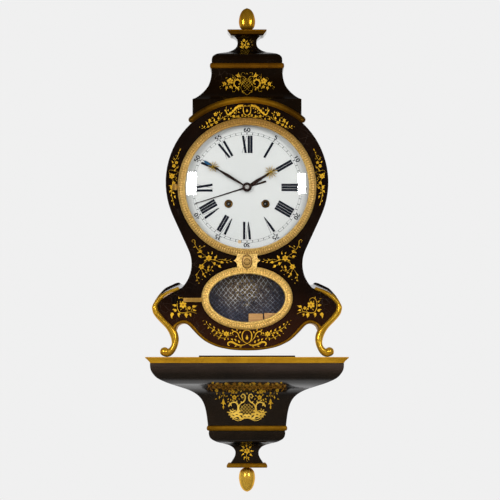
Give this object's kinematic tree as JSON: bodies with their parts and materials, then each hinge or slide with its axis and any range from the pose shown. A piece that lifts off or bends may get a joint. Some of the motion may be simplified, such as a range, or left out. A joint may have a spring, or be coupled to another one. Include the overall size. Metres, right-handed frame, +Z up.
{
  "type": "pendulum clock",
  "caption": "Waisted bracket clock in black lacquer with gilt mouldings and scroll feet, on its own wall console; enamel dial, oval pendulum window, striking movement.",
  "frame": {"origin": "on the wall plane, midway between the two hanger holes in the console's back", "axes": "+Z up, +X to the right seen from the front, +Y into the wall; the clock faces -Y"},
  "size_m": [0.406, 0.1721, 0.9873],
  "materials": {
    "lacquer": "black-brown gloss lacquer with gilt flower painting",
    "gilt": "aged gilt wood mouldings, scroll feet and eggs",
    "case_wood": "dark stained back boards",
    "light_wood": "bare pine blocks",
    "net_wire": "dark blue-grey wire net in a thin frame",
    "hinge_brass": "plain brass fittings",
    "enamel": "white enamel dial on copper with black numerals",
    "door_brass": "pale gilt engine-turned brass",
    "clear_glass": "clear glass",
    "movement_brass": "polished brass wheels and plates",
    "movement_steel": "steel arbors, pillars, bars and screws",
    "bell_metal": "pale bell bronze",
    "blued_steel": "dark blued steel with gilt sun ornaments"
  },
  "bodies": {
    "console": {"console_shell": "lacquer", "console_back": "lacquer", "console_top": "lacquer", "console_top_moulding": "gilt", "console_mid_moulding": "gilt", "console_bowl": "lacquer", "console_base_plate": "gilt", "console_drop": "gilt", "hanger_plates": "hinge_brass"},
    "clock_case": {"front_panel": "lacquer", "side_left": "lacquer", "side_right": "lacquer", "floor_board": "lacquer", "back_board": "case_wood", "apron_moulding": "gilt", "front_feet": "gilt", "rear_feet": "gilt", "arch_moulding": "gilt", "hood_block": "lacquer", "hood_flare": "lacquer", "hood_moulding": "gilt", "hood_dome": "lacquer", "hood_cap": "gilt", "hood_finial": "gilt", "net_screen": "net_wire", "screen_blocks": "light_wood", "hinge_lugs": "hinge_brass", "dial_plate": "enamel", "winding_collets": "door_brass", "movement_plates": "movement_brass", "movement_frame": "movement_steel", "suspension_cock": "movement_brass", "strike_bell": "bell_metal"},
    "front_door": {"bezel_frame": "door_brass", "dial_glass": "clear_glass", "window_glass": "clear_glass", "rosette": "door_brass"},
    "rear_door": {"back_door": "case_wood"},
    "rear_turn_button": {"back_door_button": "hinge_brass"},
    "minute_arbor": {"centre_wheel": "movement_brass", "minute_hand": "blued_steel"},
    "motion_wheel": {"minute_wheel": "movement_brass"},
    "hour_pipe": {"hour_wheel": "movement_brass", "hour_hand": "blued_steel"},
    "alarm_pipe": {"alarm_hand": "blued_steel"},
    "third_arbor": {"third_wheel": "movement_brass"},
    "escape_arbor": {"escape_wheel": "movement_brass"},
    "pallets": {"pallet_anchor": "movement_steel"},
    "pendulum": {"pendulum_rod": "movement_brass"},
    "bob": {"pendulum_bob": "movement_brass"},
    "nut": {"rating_nut": "movement_brass"},
    "intermediate_arbor": {"intermediate_wheel": "movement_brass"},
    "going_drum": {"going_barrel": "movement_brass"},
    "going_key_arbor": {"going_winding_arbor": "movement_steel"},
    "strike_drum": {"strike_barrel": "movement_brass"},
    "strike_key_arbor": {"strike_winding_arbor": "movement_steel"},
    "strike_second_arbor": {"strike_second_wheel": "movement_brass"},
    "pin_arbor": {"pin_wheel": "movement_brass"},
    "fly_arbor": {"strike_fly": "movement_brass"},
    "hammer": {"strike_hammer": "movement_steel"}
  },
  "joints": [
    {"name": "case_lift", "type": "slide", "parent": "console", "child": "clock_case", "axis": [0, 0, 1], "range_m": [0, 0.05]},
    {"name": "front_door_hinge", "type": "hinge", "parent": "clock_case", "child": "front_door", "pos_m": [-0.143, -0.1546, 0.38], "axis": [0, 0, -1], "range_deg": [0, 110]},
    {"name": "rear_door_hinge", "type": "hinge", "parent": "clock_case", "child": "rear_door", "pos_m": [0.0765, -0.0032, 0.36], "axis": [0, 0, -1], "range_deg": [0, 100]},
    {"name": "turn_button_pivot", "type": "hinge", "parent": "clock_case", "child": "rear_turn_button", "pos_m": [-0.086, -0.0037, 0.36], "axis": [0, 1, 0], "range_deg": [0, 90]},
    {"name": "minute_hand_turn", "type": "hinge", "parent": "clock_case", "child": "minute_arbor", "pos_m": [0, -0.1, 0.38], "axis": [0, 1, 0], "continuous": true},
    {"name": "motion_wheel_turn", "type": "hinge", "parent": "clock_case", "child": "motion_wheel", "pos_m": [0, -0.124, 0.3608], "axis": [0, 1, 0], "continuous": true},
    {"name": "hour_hand_turn", "type": "hinge", "parent": "clock_case", "child": "hour_pipe", "pos_m": [0, -0.127, 0.38], "axis": [0, 1, 0], "continuous": true},
    {"name": "alarm_hand_turn", "type": "hinge", "parent": "clock_case", "child": "alarm_pipe", "pos_m": [0, -0.137, 0.38], "axis": [0, 1, 0], "continuous": true},
    {"name": "third_wheel_turn", "type": "hinge", "parent": "clock_case", "child": "third_arbor", "pos_m": [-0.01798, -0.087, 0.39933], "axis": [0, 1, 0], "continuous": true},
    {"name": "escape_wheel_turn", "type": "hinge", "parent": "clock_case", "child": "escape_arbor", "pos_m": [0, -0.087, 0.412], "axis": [0, 1, 0], "continuous": true},
    {"name": "intermediate_turn", "type": "hinge", "parent": "clock_case", "child": "intermediate_arbor", "pos_m": [0.02776, -0.087, 0.38363], "axis": [0, 1, 0], "continuous": true},
    {"name": "going_drum_turn", "type": "hinge", "parent": "clock_case", "child": "going_drum", "pos_m": [0.037, -0.08, 0.347], "axis": [0, 1, 0], "continuous": true},
    {"name": "going_winding", "type": "hinge", "parent": "clock_case", "child": "going_key_arbor", "pos_m": [0.037, -0.09, 0.347], "axis": [0, 1, 0], "continuous": true},
    {"name": "pendulum_swing", "type": "hinge", "parent": "clock_case", "child": "pendulum", "pos_m": [0, -0.04, 0.43], "axis": [0, 1, 0], "range_deg": [-4, 4]},
    {"name": "pallet_rock", "type": "hinge", "parent": "clock_case", "child": "pallets", "pos_m": [0, -0.084, 0.43], "axis": [0, 1, 0], "range_deg": [-4.5, 4.5]},
    {"name": "rating_nut_travel", "type": "slide", "parent": "pendulum", "child": "nut", "axis": [0, 0, 1], "range_m": [-0.004, 0.004]},
    {"name": "bob_travel", "type": "slide", "parent": "pendulum", "child": "bob", "axis": [0, 0, 1], "range_m": [-0.0041, 0.0041]},
    {"name": "pin_wheel_turn", "type": "hinge", "parent": "clock_case", "child": "pin_arbor", "pos_m": [-0.04988, -0.087, 0.41097], "axis": [0, 1, 0], "continuous": true},
    {"name": "strike_second_turn", "type": "hinge", "parent": "clock_case", "child": "strike_second_arbor", "pos_m": [-0.0403, -0.087, 0.38466], "axis": [0, 1, 0], "continuous": true},
    {"name": "strike_drum_turn", "type": "hinge", "parent": "clock_case", "child": "strike_drum", "pos_m": [-0.037, -0.08, 0.347], "axis": [0, 1, 0], "continuous": true},
    {"name": "fly_turn", "type": "hinge", "parent": "clock_case", "child": "fly_arbor", "pos_m": [-0.04613, -0.087, 0.43224], "axis": [0, 1, 0], "continuous": true},
    {"name": "strike_winding", "type": "hinge", "parent": "clock_case", "child": "strike_key_arbor", "pos_m": [-0.037, -0.09, 0.347], "axis": [0, 1, 0], "continuous": true},
    {"name": "hammer_lift", "type": "hinge", "parent": "clock_case", "child": "hammer", "pos_m": [-0.022, -0.08, 0.432], "axis": [0, -1, 0], "range_deg": [0, 12], "stiffness_Nm_per_rad": 0.05, "springref_deg": -11.46}
  ],
  "couplings": [
    {"joint": "motion_wheel_turn", "follows": "minute_hand_turn", "ratio": -0.33333},
    {"joint": "hour_hand_turn", "follows": "minute_hand_turn", "ratio": 0.083333},
    {"joint": "third_wheel_turn", "follows": "minute_hand_turn", "ratio": -10},
    {"joint": "escape_wheel_turn", "follows": "minute_hand_turn", "ratio": 100},
    {"joint": "intermediate_turn", "follows": "minute_hand_turn", "ratio": -0.16667},
    {"joint": "going_drum_turn", "follows": "minute_hand_turn", "ratio": 0.027778},
    {"joint": "pallet_rock", "follows": "pendulum_swing", "ratio": 1},
    {"joint": "bob_travel", "follows": "rating_nut_travel", "ratio": 1},
    {"joint": "strike_second_turn", "follows": "pin_wheel_turn", "ratio": -0.16667},
    {"joint": "strike_drum_turn", "follows": "pin_wheel_turn", "ratio": 0.027778},
    {"joint": "fly_turn", "follows": "pin_wheel_turn", "ratio": -8}
  ]
}
